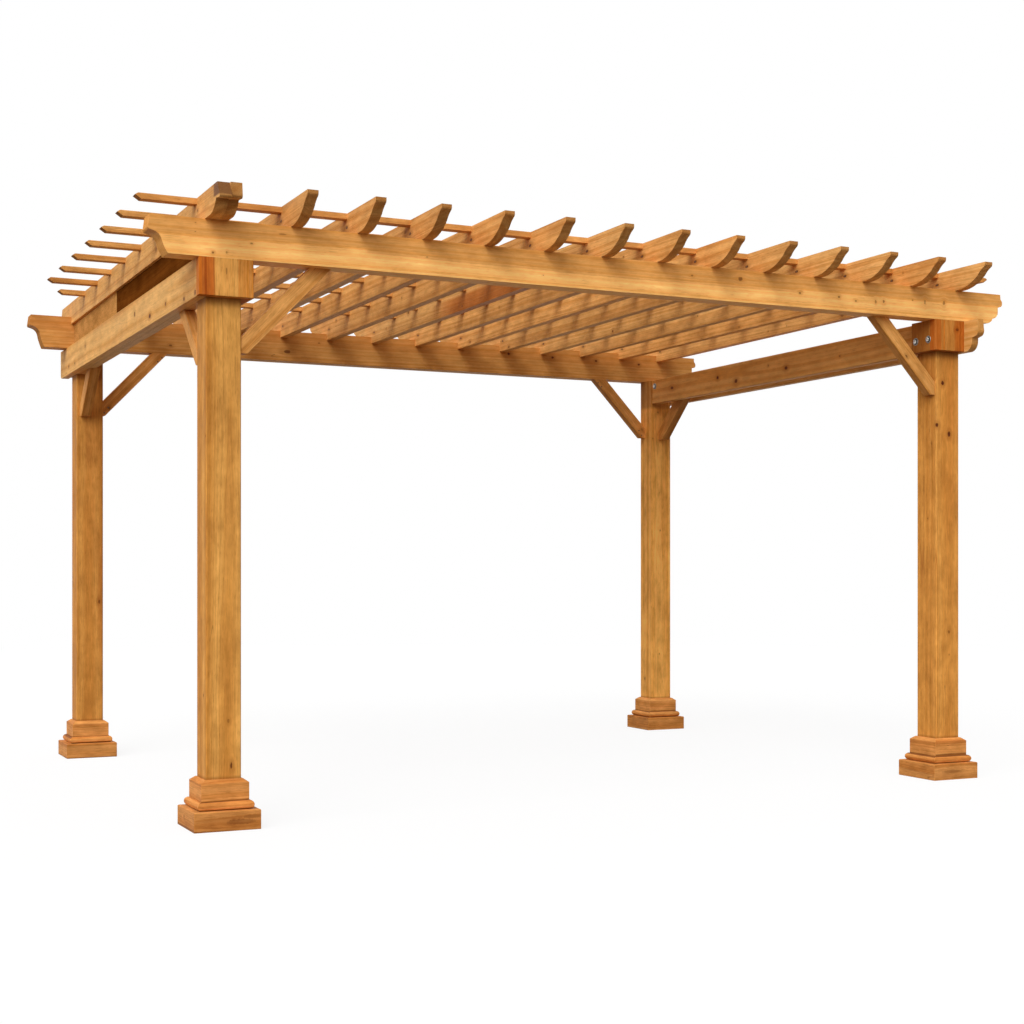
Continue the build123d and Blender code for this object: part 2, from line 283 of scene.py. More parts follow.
    def seen(self) -> Socket:
        """Tells what is looked at from what only lights.

        Returns:
            1 where the ray comes from the camera, a mirror or glass.
        """
        ways = self.node("ShaderNodeLightPath").outputs
        direct = self.reckon("MAXIMUM", ways["Is Camera Ray"], ways["Is Glossy Ray"])
        return self.reckon("MAXIMUM", direct, ways["Is Transmission Ray"])

    def close(self, surface: Socket, kind: str = "ShaderNodeOutputMaterial") -> None:
        """Ends the tree in its output node."""
        self.feed(self.node(kind).inputs["Surface"], surface)


def blank_material(name: str, plain: Triple) -> bpy.types.Material:
    """Makes a material whose tree is still empty.

    Args:
        name: The material's name.
        plain: Its colour where nodes aren't shown.

    Returns:
        The material.
    """
    made = bpy.data.materials.new(name)
    made.use_nodes = True
    made.diffuse_color = (*plain, 1.0)
    made.node_tree.nodes.clear()
    return made


def placed(name: str, data: bpy.types.ID) -> bpy.types.Object:
    """Puts a mesh, lamp or camera in the scene.

    Args:
        name: The object's name.
        data: What it shows.

    Returns:
        The object.
    """
    made = bpy.data.objects.new(name, data)
    bpy.context.scene.collection.objects.link(made)
    return made


def built(name: str, mesh: bmesh.types.BMesh) -> bpy.types.Object:
    """Turns a mesh's faces outwards and puts it in the scene.

    Args:
        name: The object's name.
        mesh: The mesh, which is freed.

    Returns:
        The object.
    """
    bmesh.ops.recalc_face_normals(mesh, faces=mesh.faces[:])
    data = bpy.data.meshes.new(name)
    mesh.to_mesh(data)
    mesh.free()
    return placed(name, data)


class Along(Enum):
    """The ways that timber runs in the frame: along, across its thickness, across its width."""

    LENGTH = ((1, 0, 0), (0, 1, 0), (0, 0, 1))
    DEPTH = ((0, 1, 0), (1, 0, 0), (0, 0, 1))
    UPRIGHT = ((0, 0, 1), (1, 0, 0), (0, 1, 0))
    UPRIGHT_SIDE = ((0, 0, 1), (0, 1, 0), (1, 0, 0))


class Grain(ABC):
    """Gives a piece its own coordinates: x with the grain, y and z across, in metres."""

    @abstractmethod
    def wire(self, net: Wiring) -> tuple[Socket, Feed]:
        """Lays the nodes and returns the point and how far a face shows end grain."""

    @abstractmethod
    def place(self, point: Triple) -> Triple:
        """Turns a point of the frame into the piece's own coordinates."""

    @staticmethod
    def end_share(net: Wiring, axis: Triple, low: float, high: float) -> Socket:
        """How far a face shows end grain.

        Args:
            net: The tree.
            axis: The way that the grain runs.
            low: How squarely a face crosses the grain where it begins to show its end.
            high: How squarely it crosses where it shows nothing else.

        Returns:
            0 to 1.
        """
        facing = net.node("ShaderNodeNewGeometry").outputs["True Normal"]
        return net.rise(net.reckon("ABSOLUTE", net.measure("DOT_PRODUCT", facing, axis)),
                        low, high)


@dataclass(frozen=True)
class StraightGrain(Grain):
    """Grain that runs one way through one board."""

    axes: tuple[Triple, Triple, Triple]
    centre: Triple

    def wire(self, net: Wiring) -> tuple[Socket, Feed]:
        """Lays the nodes.

        Args:
            net: The tree.

        Returns:
            The point and the end-grain share.
        """
        where = net.node("ShaderNodeTexCoord").outputs["Object"]
        off = net.vector("SUBTRACT", where, self.centre)
        point = net.join(*[net.measure("DOT_PRODUCT", off, axis) for axis in self.axes])
        return point, self.end_share(net, self.axes[0], 0.55, 0.92)

    def place(self, point: Triple) -> Triple:
        """Turns a point of the frame into the board's own coordinates."""
        off = Vector(point) - Vector(self.centre)
        return tuple(off.dot(Vector(axis)) for axis in self.axes)


@dataclass(frozen=True)
class RowGrain(Grain):
    """Grain along X in laths that lie in rows of one pitch along Y, each from another tree."""

    pitch: float
    height: float
    apart: float = 7.3
    turn: float = 5.1
    drop: float = 0.03

    def wire(self, net: Wiring) -> tuple[Socket, Feed]:
        """Lays the nodes.

        Args:
            net: The tree.

        Returns:
            The point and the end-grain share.
        """
        x, y, z = net.split(net.node("ShaderNodeTexCoord").outputs["Object"])
        row = net.reckon("ROUND", net.reckon("DIVIDE", y, self.pitch))
        inner = net.minus(y, net.times(row, self.pitch))
        far = net.plus(x, net.times(row, self.apart))
        sway = net.times(net.reckon("SINE", net.times(row, self.turn)), self.drop)
        lift = net.plus(net.minus(z, self.height), sway)
        return net.join(far, inner, lift), self.end_share(net, (1, 0, 0), 0.3, 0.5)

    def place(self, point: Triple) -> Triple:
        """Turns a point of the frame into the lath's own coordinates.

        Args:
            point: The point.

        Returns:
            Its own coordinates.
        """
        row = round(point[1] / self.pitch)
        lift = point[2] - self.height + self.drop * math.sin(row * self.turn)
        return point[0] + self.apart * row, point[1] - row * self.pitch, lift


@dataclass(frozen=True)
class MitredGrain(Grain):
    """Grain that turns with four mitred lengths round each of the four posts."""

    half_long: float
    half_short: float
    apart_x: float = 3.3
    apart_y: float = 5.9
    apart_front: float = 1.45
    apart_flank: float = 2.35

    def wire(self, net: Wiring) -> tuple[Socket, Feed]:
        """Lays the nodes.

        Args:
            net: The tree.

        Returns:
            The point and the end-grain share, which is none.
        """
        x, y, z = net.split(net.node("ShaderNodeTexCoord").outputs["Object"])
        side_x, side_y = net.reckon("SIGN", x), net.reckon("SIGN", y)
        u = net.minus(x, net.times(side_x, self.half_long))
        v = net.minus(y, net.times(side_y, self.half_short))
        turned = net.reckon("GREATER_THAN", net.reckon("ABSOLUTE", u), net.reckon("ABSOLUTE", v))
        post = net.plus(net.times(side_x, self.apart_x), net.times(side_y, self.apart_y))
        front = net.plus(post, net.times(net.reckon("SIGN", v), self.apart_front))
        flank = net.plus(post, net.times(net.reckon("SIGN", u), self.apart_flank))
        lengthwise = net.join(net.plus(u, front), v, z)
        crosswise = net.join(net.plus(v, flank), u, z)
        return net.pick(turned, lengthwise, crosswise), 0.0

    def place(self, point: Triple) -> Triple:
        """Turns a point of the frame into its length's own coordinates.

        Args:
            point: The point.

        Returns:
            Its own coordinates.
        """
        side_x, side_y = math.copysign(1, point[0]), math.copysign(1, point[1])
        u, v = point[0] - side_x * self.half_long, point[1] - side_y * self.half_short
        post = self.apart_x * side_x + self.apart_y * side_y
        if abs(u) > abs(v):
            return v + post + math.copysign(self.apart_flank, u), u, point[2]
        return u + post + math.copysign(self.apart_front, v), v, point[2]


@dataclass(frozen=True)
class Knot:
    """A knot: where it shows, its reach with and across the grain, and how dark it is."""

    at: Triple
    long: float
    wide: float
    dark: float = 1.0


@dataclass(frozen=True)
class StainOrPaintedShade:
    """A stripe of another tone that runs with the grain, between two places across it: some are
    real stains, some are painted shade.
    """

    axis: str
    low: float
    high: float
    colour: Triple
    strength: float = 0.7
    soft: float = 0.012
    start: Optional[float] = None
    stop: Optional[float] = None
    ramp: float = 0.03

    def share(self, net: Wiring, grown: Socket) -> Socket:
        """Draws the stripe.

        Args:
            net: The tree.
            grown: The piece's own coordinates, bent as its grain is.

        Returns:
            How much of the stripe's tone shows.
        """
        x, y, z = net.split(grown)
        across = y if self.axis == "y" else z
        share = net.times(net.rise(across, self.low - self.soft, self.low),
                          net.rise(across, self.high + self.soft, self.high, self.strength))
        if self.start is not None:
            share = net.times(share, net.rise(x, self.start - self.ramp, self.start))
        if self.stop is not None:
            share = net.times(share, net.rise(x, self.stop + self.ramp, self.stop))
        return share


def knot_tree() -> bpy.types.NodeTree:
    """Makes, once, the node group that draws one knot.

    Returns:
        The group, with the knot's core, its ring and the push that it gives to the grain.
    """
    made = bpy.data.node_groups.get("knot_in_grain")
    if made:
        return made
    made = bpy.data.node_groups.new("knot_in_grain", "ShaderNodeTree")
    for name in ("Point", "Centre", "Reach"):
        made.interface.new_socket(name=name, in_out="INPUT", socket_type="NodeSocketVector")
    for name in ("Core", "Ring"):
        made.interface.new_socket(name=name, in_out="OUTPUT", socket_type="NodeSocketFloat")
    made.interface.new_socket(name="Push", in_out="OUTPUT", socket_type="NodeSocketVector")
    net = Wiring(made)
    given, result = net.node("NodeGroupInput"), net.node("NodeGroupOutput")
    off = net.vector("SUBTRACT", given.outputs["Point"], given.outputs["Centre"])
    uneven = net.noise(net.scaled(given.outputs["Point"], (130, 130, 130)), 1.0)
    far = net.measure("LENGTH", net.scaled(off, given.outputs["Reach"]))
    far = net.plus(far, net.times(net.minus(uneven, 0.5), 0.7))
    net.feed(result.inputs["Core"], net.rise(far, 1.15, 0.7))
    net.feed(result.inputs["Ring"], net.rise(far, 3.6, 0.9))
    fall = net.reckon("EXPONENT", net.times(net.times(far, far), -0.16))
    push = net.scaled(off, net.join(0.0, fall, fall))
    net.feed(result.inputs["Push"], net.scaled(push, (0, 0.75, 0.75)))
    return made


class Figure(Enum):
    """Cells per metre of each figure of the timber: with the grain, and twice across it."""

    SWAY = (0.8, 4.5, 4.5)
    SHAKE = (4.5, 30, 30)
    FADE = (1.3, 14, 14)
    PATCH = (0.9, 11, 11)
    BLOTCH = (3.2, 6, 6)
    CLOUD = (12, 26, 26)
    FIBRE = (11, 330, 330)
    DASH = (30, 420, 420)
    FLECK = (60, 1500, 1500)
    CRACK = (0.9, 26, 26)
    DRIED = (1.7, 9, 9)

    def drawn(self, net: Wiring, afar: Socket, detail: float = 1.0, rough: float = 0.5,
              colour: bool = False) -> Socket:
        """Noise with the cells of this figure."""
        return net.noise(net.scaled(afar, self.value), detail, rough, colour)


@dataclass(frozen=True)
class TimberFinish:
    """Oiled softwood: the colours of its grain, how busy it is, and its sheen."""

    pale: Triple
    tan: Triple
    line: Triple
    rust: Triple
    knot: Triple = tint(92, 42, 12)
    ring: float = 0.0052
    taper: float = 0.012
    broad_bands: float = 52.0
    fine_bands: float = 210.0
    relief: float = 0.0011
    lines: float = 0.34
    rusty: float = 0.35
    checks: float = 0.6
    flecks: float = 0.4
    mottle: float = 1.0
    sheen: float = 0.62
    gloss: float = 0.12
    end_shade: float = 0.86

    def toned(self, light: float, warm: float = 0.0) -> "TimberFinish":
        """The same timber in another tone.

        Args:
            light: What its colours are multiplied by.
            warm: How much blue they lose, and half as much green.

        Returns:
            The new finish.
        """
        def shift(colour: Triple) -> Triple:
            """Tones one colour."""
            return (colour[0] * light, colour[1] * light * (1 - 0.5 * warm),
                    colour[2] * light * (1 - warm))
        return replace(self, pale=shift(self.pale), tan=shift(self.tan),
                       line=shift(self.line), rust=shift(self.rust))

    def material(self, name: str, grain: Grain, seed: int, knots: Sequence[Knot] = (),
                 stains_and_shade: Sequence[StainOrPaintedShade] = (), pith: tuple[float, float] = (0.02, 0.01),
                 ) -> bpy.types.Material:
        """Builds the finish for one piece.

        Args:
            name: The material's name.
            grain: How the grain runs through the piece.
            seed: Sets the noise of this piece apart from the others.
            knots: The knots that it shows.
            stains_and_shade: The stripes of another tone; some are real stains, some are painted
                shade.
            pith: Where the heart of the tree lies across the piece, from its middle.

        Returns:
            The material.
        """
        made = blank_material(name, self.tan)
        net = Wiring(made.node_tree)
        chance = random.Random(seed)
        away = tuple(chance.uniform(-FAR_OFF, FAR_OFF) for _ in range(3))
        point, end = grain.wire(net)
        bent, core, halo = self._set_knots(net, point, grain, knots)
        afar = net.vector("ADD", bent, away)
        grown = self._grown(net, bent, afar)
        blotch = Figure.BLOTCH.drawn(net, afar, 3.0)
        fibre = Figure.FIBRE.drawn(net, afar, 2.0, 0.6)
        split = self._checks(net, afar)

        late, colour = self._rings(net, grown, afar, away, pith)
        patch = Figure.PATCH.drawn(net, afar, 2.0)
        colour = net.colour(net.rise(patch, 0.56, 0.78, self.rusty), colour, self.rust)
        for stain_or_shade in stains_and_shade:
            colour = net.colour(stain_or_shade.share(net, grown), colour, stain_or_shade.colour)
        dash = Figure.DASH.drawn(net, afar)
        colour = net.colour(net.rise(dash, 0.58, 0.72, self.flecks), colour, self.line)
        colour = self._mottled(net, colour, afar, blotch, fibre)
        colour = net.colour(net.times(split, 0.8), colour, self.knot)
        if core is not None:
            colour = net.colour(net.times(halo, 0.5), colour, self.line)
            colour = net.colour(core, colour, self.knot)
        worn = net.colour(net.rise(fibre, 0.35, 0.65), self.rust, self.tan)
        worn = net.colour(1.0, worn, (self.end_shade,) * 3, "MULTIPLY")
        colour = net.colour(net.times(end, 0.62), colour, worn)

        fleck = Figure.FLECK.drawn(net, afar)
        height = net.plus(net.times(fibre, 0.55), net.times(fleck, 0.2))
        height = net.minus(height, net.times(late, 0.22))
        height = net.minus(height, net.times(split, 1.6))
        if core is not None:
            height = net.plus(height, net.times(core, 0.35))
        rough = net.plus(net.times(blotch, 0.22), self.sheen - 0.11)
        surface = net.node("ShaderNodeBsdfPrincipled")
        surface.inputs["Specular IOR Level"].default_value = self.gloss
        net.feed(surface.inputs["Base Color"], colour)
        net.feed(surface.inputs["Roughness"], net.plus(rough, net.times(end, 0.2), clamp=True))
        net.feed(surface.inputs["Normal"], net.relief(height, 0.55, self.relief))
        net.close(surface.outputs[0])
        return made

    @staticmethod
    def _set_knots(net: Wiring, point: Socket, grain: Grain, knots: Sequence[Knot],
                   ) -> tuple[Socket, Optional[Socket], Optional[Socket]]:
        """Draws the knots.

        Args:
            net: The tree.
            point: The piece's own coordinates.
            grain: How the grain runs.
            knots: The knots.

        Returns:
            The point with the grain bent round the knots, the cores and the rings.
        """
        core: Optional[Socket] = None
        ring: Optional[Socket] = None
        bent = point
        for knot in knots:
            drawn = net.node("ShaderNodeGroup")
            drawn.node_tree = knot_tree()
            net.feed(drawn.inputs["Point"], point)
            drawn.inputs["Centre"].default_value = grain.place(knot.at)
            drawn.inputs["Reach"].default_value = (1 / knot.long, 1 / knot.wide, 1 / knot.wide)
            bent = net.vector("SUBTRACT", bent, drawn.outputs["Push"])
            dark = net.times(drawn.outputs["Core"], knot.dark)
            soft = net.times(drawn.outputs["Ring"], min(1.0, knot.dark))
            core = dark if core is None else net.reckon("MAXIMUM", core, dark)
            ring = soft if ring is None else net.reckon("MAXIMUM", ring, soft)
        return bent, core, ring

    @staticmethod
    def _grown(net: Wiring, bent: Socket, afar: Socket) -> Socket:
        """Lets the grain sway and shake as a tree grows.

        Args:
            net: The tree of nodes.
            bent: The piece's own coordinates, bent round its knots.
            afar: The same point, moved to this piece's part of the noise.

        Returns:
            The coordinates that the grain follows.
        """
        grown = bent
        for figure, detail, reach in ((Figure.SWAY, 1.0, 0.034), (Figure.SHAKE, 2.0, 0.004)):
            turn = figure.drawn(net, afar, detail, colour=True)
            turn = net.vector("SUBTRACT", turn, (0.5, 0.5, 0.5))
            grown = net.vector("ADD", grown, net.scaled(turn, (0, reach, reach)))
        return grown

    def _rings(self, net: Wiring, grown: Socket, afar: Socket, away: Triple,
               pith: tuple[float, float]) -> tuple[Socket, Socket]:
        """Draws the year rings.

        Args:
            net: The tree of nodes.
            grown: The coordinates that the grain follows.
            afar: The point in this piece's part of the noise.
            away: How far that part lies.
            pith: Where the heart of the tree lies across the piece.

        Returns:
            The late wood of each year, and the colour of the grain.
        """
        ringed = net.vector("SUBTRACT", grown, (0.0, *pith))
        radius = net.measure("LENGTH", net.scaled(ringed, (self.taper, 1, 1)))
        broad = net.plus(net.times(radius, self.broad_bands), away[0])
        broad = net.line_noise(broad, 3.0, 0.6)
        fine = net.plus(net.times(radius, self.fine_bands), away[1])
        fine = net.line_noise(fine, 2.0, 0.6)
        year = net.reckon("FRACT", net.reckon("DIVIDE", radius, self.ring))
        late = net.times(net.rise(year, 0.45, 0.9), net.rise(year, 1.0, 0.93))
        colour = net.colour(net.rise(broad, 0.36, 0.66), self.pale, self.tan)
        fade = net.rise(Figure.FADE.drawn(net, afar), 0.36, 0.62)
        shade = net.times(net.rise(fine, 0.55, 0.74), fade)
        colour = net.colour(net.times(shade, self.lines), colour, self.line)
        return late, net.colour(net.times(late, self.lines * 0.36), colour, self.line)

    def _mottled(self, net: Wiring, colour: Socket, afar: Socket, blotch: Socket,
                 fibre: Socket) -> Socket:
        """Lets the tone wander, redder where it is darker.

        Args:
            net: The tree of nodes.
            colour: The colour so far.
            afar: The point in this piece's part of the noise.
            blotch: The widest figure.
            fibre: The finest figure.

        Returns:
            The new colour.
        """
        cloud = Figure.CLOUD.drawn(net, afar, 3.0, 0.6)
        depth = net.plus(net.times(blotch, 0.7), net.times(cloud, 0.75))
        depth = net.plus(depth, net.times(fibre, 0.6))
        depth = net.plus(net.times(net.minus(depth, 1.02), self.mottle), 1.0)
        tone = net.join(depth, net.reckon("POWER", depth, 1.2), net.reckon("POWER", depth, 1.5))
        return net.colour(1.0, colour, tone, "MULTIPLY")

    def _checks(self, net: Wiring, afar: Socket) -> Socket:
        """Draws the short fine cracks that drying leaves along the grain.

        Args:
            net: The tree of nodes.
            afar: The point in this piece's part of the noise.

        Returns:
            1 in a crack.
        """
        course = net.minus(Figure.CRACK.drawn(net, afar), 0.5)
        thin = net.rise(net.reckon("ABSOLUTE", course), 0.0045, 0.001)
        return net.times(thin, net.rise(Figure.DRIED.drawn(net, afar), 0.6, 0.68, self.checks))


@dataclass(frozen=True)
class MetalFinish:
    """Zinc-plated steel, a little dull and scuffed."""

    colour: Triple
    rough: float

    def material(self, name: str) -> bpy.types.Material:
        """Builds the finish.

        Args:
            name: The material's name.

        Returns:
            The material.
        """
        made = blank_material(name, self.colour)
        net = Wiring(made.node_tree)
        where = net.node("ShaderNodeTexCoord").outputs["Object"]
        cloud = net.noise(net.scaled(where, (160, 160, 160)), 3.0)
        scuff = net.noise(net.scaled(where, (900, 900, 900)), 2.0)
        dull = tuple(value * 0.55 for value in self.colour)
        surface = net.node("ShaderNodeBsdfPrincipled")
        surface.inputs["Metallic"].default_value = 1.0
        net.feed(surface.inputs["Base Color"],
                 net.colour(net.rise(cloud, 0.45, 0.75, 0.7), self.colour, dull))
        net.feed(surface.inputs["Roughness"], net.plus(net.times(scuff, 0.3), self.rough - 0.1))
        net.feed(surface.inputs["Normal"], net.relief(scuff, 0.3, 0.0002))
        net.close(surface.outputs[0])
        return made


HONEY = TimberFinish(pale=tint(238, 186, 114), tan=tint(222, 160, 84), line=tint(178, 112, 50),
                     rust=tint(204, 130, 58), lines=0.3, flecks=0.3, mottle=0.7)
POST = TimberFinish(pale=tint(224, 166, 86), tan=tint(204, 140, 62), line=tint(160, 94, 36),
                    rust=tint(188, 112, 44), lines=0.36, rusty=0.4)
RAFTER = TimberFinish(pale=tint(234, 180, 110), tan=tint(214, 152, 82), line=tint(172, 108, 48),
                      rust=tint(196, 122, 54), lines=0.32, rusty=0.35, mottle=0.85,
                      end_shade=0.62)
BASE = TimberFinish(pale=tint(222, 164, 98), tan=tint(198, 134, 68), line=tint(152, 88, 36),
                    rust=tint(180, 100, 38), lines=0.4, rusty=0.5, ring=0.0042)
CAP = TimberFinish(pale=tint(228, 166, 86), tan=tint(212, 140, 58), line=tint(168, 90, 28),
                   rust=tint(196, 104, 28), lines=0.4, rusty=0.7)
# Cap timber darkened as painted shade, for the cheeks in the beam's shadow
CHEEK_PAINTED_SHADE = CAP.toned(0.62, 0.3)
BRACE = TimberFinish(pale=tint(226, 166, 94), tan=tint(208, 142, 70), line=tint(162, 98, 40),
                     rust=tint(190, 114, 46), lines=0.32)
LATH = TimberFinish(pale=tint(220, 162, 92), tan=tint(200, 136, 68), line=tint(152, 90, 38),
                    rust=tint(182, 108, 46), lines=0.34, end_shade=0.4)
# Dark timber that is painted shade, for side_upper_left under the doubled rafter
PAINTED_SHADE_TIMBER = TimberFinish(pale=tint(116, 64, 20), tan=tint(94, 50, 14), line=tint(64, 32, 8),
                      rust=tint(84, 42, 10), lines=0.3, gloss=0.0)
# Brown of painted shade: under the caps, at the post feet and in the joints of the bases
PAINTED_SHADE = tint(112, 62, 24)
STEEL = MetalFinish(tint(206, 206, 202), 0.34)
PLATE = MetalFinish(tint(158, 157, 152), 0.46)
# Near-black steel for the bolt collars: painted shade round each head
PAINTED_SHADE_STEEL = MetalFinish(tint(62, 56, 50), 0.55)
SCREW = MetalFinish(tint(120, 100, 78), 0.5)


class Smoother:
    """Joins the corners of a piece, eases its edges and shades it by its flats."""

    @staticmethod
    def tree() -> bpy.types.NodeTree:
        """Makes, once, the node group that joins corners and turns smooth shading on.

        Returns:
            The group.
        """
        made = bpy.data.node_groups.get("join_and_smooth")
        if made:
            return made
        made = bpy.data.node_groups.new("join_and_smooth", "GeometryNodeTree")
        for way in ("INPUT", "OUTPUT"):
            made.interface.new_socket(name="Geometry", in_out=way,
                                      socket_type="NodeSocketGeometry")
        net = Wiring(made)
        given, result = net.node("NodeGroupInput"), net.node("NodeGroupOutput")
        joined = net.node("GeometryNodeMergeByDistance")
        joined.inputs["Distance"].default_value = 0.00002
        smooth = net.node("GeometryNodeSetShadeSmooth")
        net.feed(joined.inputs["Geometry"], given.outputs[0])
        net.feed(smooth.inputs["Geometry"], joined.outputs[0])
        net.feed(result.inputs[0], smooth.outputs[0])
        return made

    @classmethod
    def ease(cls, piece: bpy.types.Object, width: float) -> None:
        """Adds the modifiers to one piece.

        Args:
            piece: The object.
            width: How wide the eased edge is, in metres.
        """
        join = piece.modifiers.new("join", "NODES")
        join.node_group = cls.tree()
        bevel = piece.modifiers.new("eased_edges", "BEVEL")
        bevel.width = width
        bevel.segments = 2
        bevel.limit_method = "ANGLE"
        bevel.angle_limit = math.radians(28)
        bevel.use_clamp_overlap = True
        flats = piece.modifiers.new("flats", "WEIGHTED_NORMAL")
        flats.weight = 80


def finished(piece: bpy.types.Object, material: bpy.types.Material, eased: float) -> None:
    """Gives a piece its material and eased edges, and reports it.

    Args:
        piece: The object.
        material: Its material.
        eased: How wide its eased edges are, in metres.
    """
    if not piece.material_slots:
        piece.data.materials.append(material)
    for slot in piece.material_slots:
        slot.material = material
    Smoother.ease(piece, eased)
    LOG.info("finished %s", piece.name)


def middle(node: str) -> Triple:
    """The middle of a CAD node's box."""
    low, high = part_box(node)
    return tuple((low + high) / 2)


@dataclass
class Piece:
    """One CAD piece and how its timber is cut from the tree."""

    node: str
    finish: TimberFinish
    along: Along
    seed: int
    knots: tuple[Knot, ...] = ()
    stains_and_shade: tuple[StainOrPaintedShade, ...] = ()
    pith: tuple[float, float] = (0.02, 0.012)
    eased: float = 0.0018

    def dress(self) -> None:
        """Gives the CAD piece its finish and eased edges."""
        grain = StraightGrain(self.along.value, middle(self.node))
        finished(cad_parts[self.node],
                 self.finish.material(f"{self.node}_timber", grain, self.seed, self.knots,
                                      self.stains_and_shade, self.pith), self.eased)


def knots_on(axis: int, face: float, rows: Sequence[tuple[float, ...]]) -> tuple[Knot, ...]:
    """Sets knots on one upright face of a piece.

    Args:
        axis: 0 for a face that looks along X, 1 for one that looks along Y.
        face: Where the face lies on that axis.
        rows: For each knot, where it is along the face, its height, its reach with and across
            the grain and, unless it is fully dark, how dark it is.

    Returns:
        The knots.
    """
    return tuple(Knot((along, face, height) if axis else (face, along, height), *reach)
                 for along, height, *reach in rows)


def scattered(node: str, count: int, seed: int, size: float,
              faces: Sequence[Triple]) -> tuple[Knot, ...]:
    """Strews small knots over the faces of a piece.

    Args:
        node: The CAD node.
        count: How many knots.
        seed: Sets their places.
        size: The usual reach of a knot, in metres.
        faces: Outward directions of the faces that they show on.

    Returns:
        The knots.
    """
    low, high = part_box(node)
    chance = random.Random(seed * 7919 + 13)
    made = []
    for _ in range(count):
        face = chance.choice(list(faces))
        at = [chance.uniform(low[i] + 0.06 * (high[i] - low[i]),
                             high[i] - 0.06 * (high[i] - low[i])) for i in range(3)]
        for i in range(3):
            if face[i]:
                at[i] = high[i] if face[i] > 0 else low[i]
        reach = size * chance.uniform(0.45, 1.35)
        made.append(Knot(tuple(at), reach * chance.uniform(1.0, 1.9), reach,
                         dark=chance.uniform(0.35, 0.85)))
    return tuple(made)


@dataclass
class SawnBoard:
    """A board sawn to an outline, which stands for a CAD piece that is a little too long."""

    node: str
    finish: TimberFinish
    grain: Grain
    seed: int
    axis: int
    near: float
    far: float
    outline: tuple[tuple[float, float], ...]
    slot: str
    stains_and_shade: tuple[StainOrPaintedShade, ...] = ()

    def build(self) -> None:
        """Makes the board, finishes it and hides the CAD piece."""
        mesh = bmesh.new()
        ends = [[mesh.verts.new(self._corner(depth, across, height))
                 for across, height in self.outline] for depth in (self.near, self.far)]
        for end in ends:
            mesh.faces.new(end)
        count = len(self.outline)
        for i in range(count):
            j = (i + 1) % count
            mesh.faces.new([ends[0][j], ends[0][i], ends[1][i], ends[1][j]])
        made = built(f"{self.node}_sawn", mesh)
        finished(made, self.finish.material(f"{self.node}_timber", self.grain, self.seed, (),
                                            self.stains_and_shade, (0.03, 0.05)), 0.0018)
        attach(made, "root")
        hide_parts(self.node)

    def _corner(self, depth: float, across: float, height: float) -> Triple:
        """Places one corner: the board lies across X or across Y."""
        return (depth, across, height) if self.axis == 0 else (across, depth, height)


@dataclass
class Posts:
    """The four square posts, with the tone of each."""

    tones: dict[str, tuple[float, float]] = field(default_factory=lambda: {
        "front_left": (0.98, 0.06), "front_right": (1.0, 0.2),
        "rear_left": (0.86, 0.22), "rear_right": (1.34, 0.0)})
    marks: dict[str, tuple[tuple[float, ...], ...]] = field(default_factory=lambda: {
        "front_left": ((-1.7585, 0.245, 0.014, 0.004, 0.9),),
        "front_right": ((1.7575, 1.911, 0.011, 0.009), (1.7232, 1.7066, 0.011, 0.008),
                        (1.797, 1.665, 0.013, 0.009))})

    def dress(self) -> None:
        """Finishes each post, with its grain upright and painted shade under its cap and at its
        foot.
        """
        # Painted shade: a darker band under each cap and another just above the base
        painted_shade_under_cap = StainOrPaintedShade("y", *WHOLE, PAINTED_SHADE, 0.5, start=0.947)
        painted_shade_at_foot = StainOrPaintedShade("y", *WHOLE, PAINTED_SHADE, 0.45, stop=-0.908, ramp=0.012)
        for place, (name, tone) in enumerate(self.tones.items()):
            node = f"post_{name}"
            knots = knots_on(1, -OUTER_Y, self.marks.get(name, ()))
            Piece(node, POST.toned(*tone), Along.UPRIGHT, 100 + place,
                  knots + scattered(node, 9, 61 + place, 0.0055, ALL_SIDES),
                  (painted_shade_under_cap, painted_shade_at_foot), (0.018 - 0.012 * place, 0.03), 0.0012).dress()


@dataclass
class Bases:
    """The plinth, beading and collar round the foot of each post."""

    reach: float = 0.132
    eased: float = 0.0015

    def dress(self) -> None:
        """Finishes the three nodes, each with its grain turned at the mitres."""
        grain = MitredGrain(POST_X, POST_Y)
        plinth = (knots_on(0, -POST_X - self.reach, ((-1.3228, 0.044, 0.0035, 0.006),))
                  + knots_on(1, -POST_Y - self.reach, (
                      (-1.735, 0.034, 0.060, 0.011, 0.42), (-1.690, 0.052, 0.040, 0.007, 0.40),
                      (1.760, 0.040, 0.055, 0.009, 0.35))))
        # Painted shade: darker bands where the plinth meets the floor and where bead and collar
        # meet their neighbours
        shade_at_floor = StainOrPaintedShade("z", -0.1, 0.002, PAINTED_SHADE, 0.7, 0.003)
        shade_under_bead = StainOrPaintedShade("z", 0.0, 0.079, PAINTED_SHADE, 0.8, 0.002)
        shade_over_bead = StainOrPaintedShade("z", 0.109, 0.2, PAINTED_SHADE, 0.8, 0.002)
        shade_under_collar = StainOrPaintedShade("z", 0.0, 0.113, PAINTED_SHADE, 0.7, 0.002)
        rows = (("base_plinths", plinth, (shade_at_floor,), 0.96),
                ("base_mouldings", (), (shade_under_bead, shade_over_bead), 1.08),
                ("base_collars", (), (shade_under_collar,), 1.04))
        for place, (node, knots, stains_and_shade, tone) in enumerate(rows):
            finished(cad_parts[node],
                     BASE.toned(tone, 0.24).material(f"{node}_timber", grain, 210 + place, knots,
                                                     stains_and_shade, (0.01, -0.05)), self.eased)


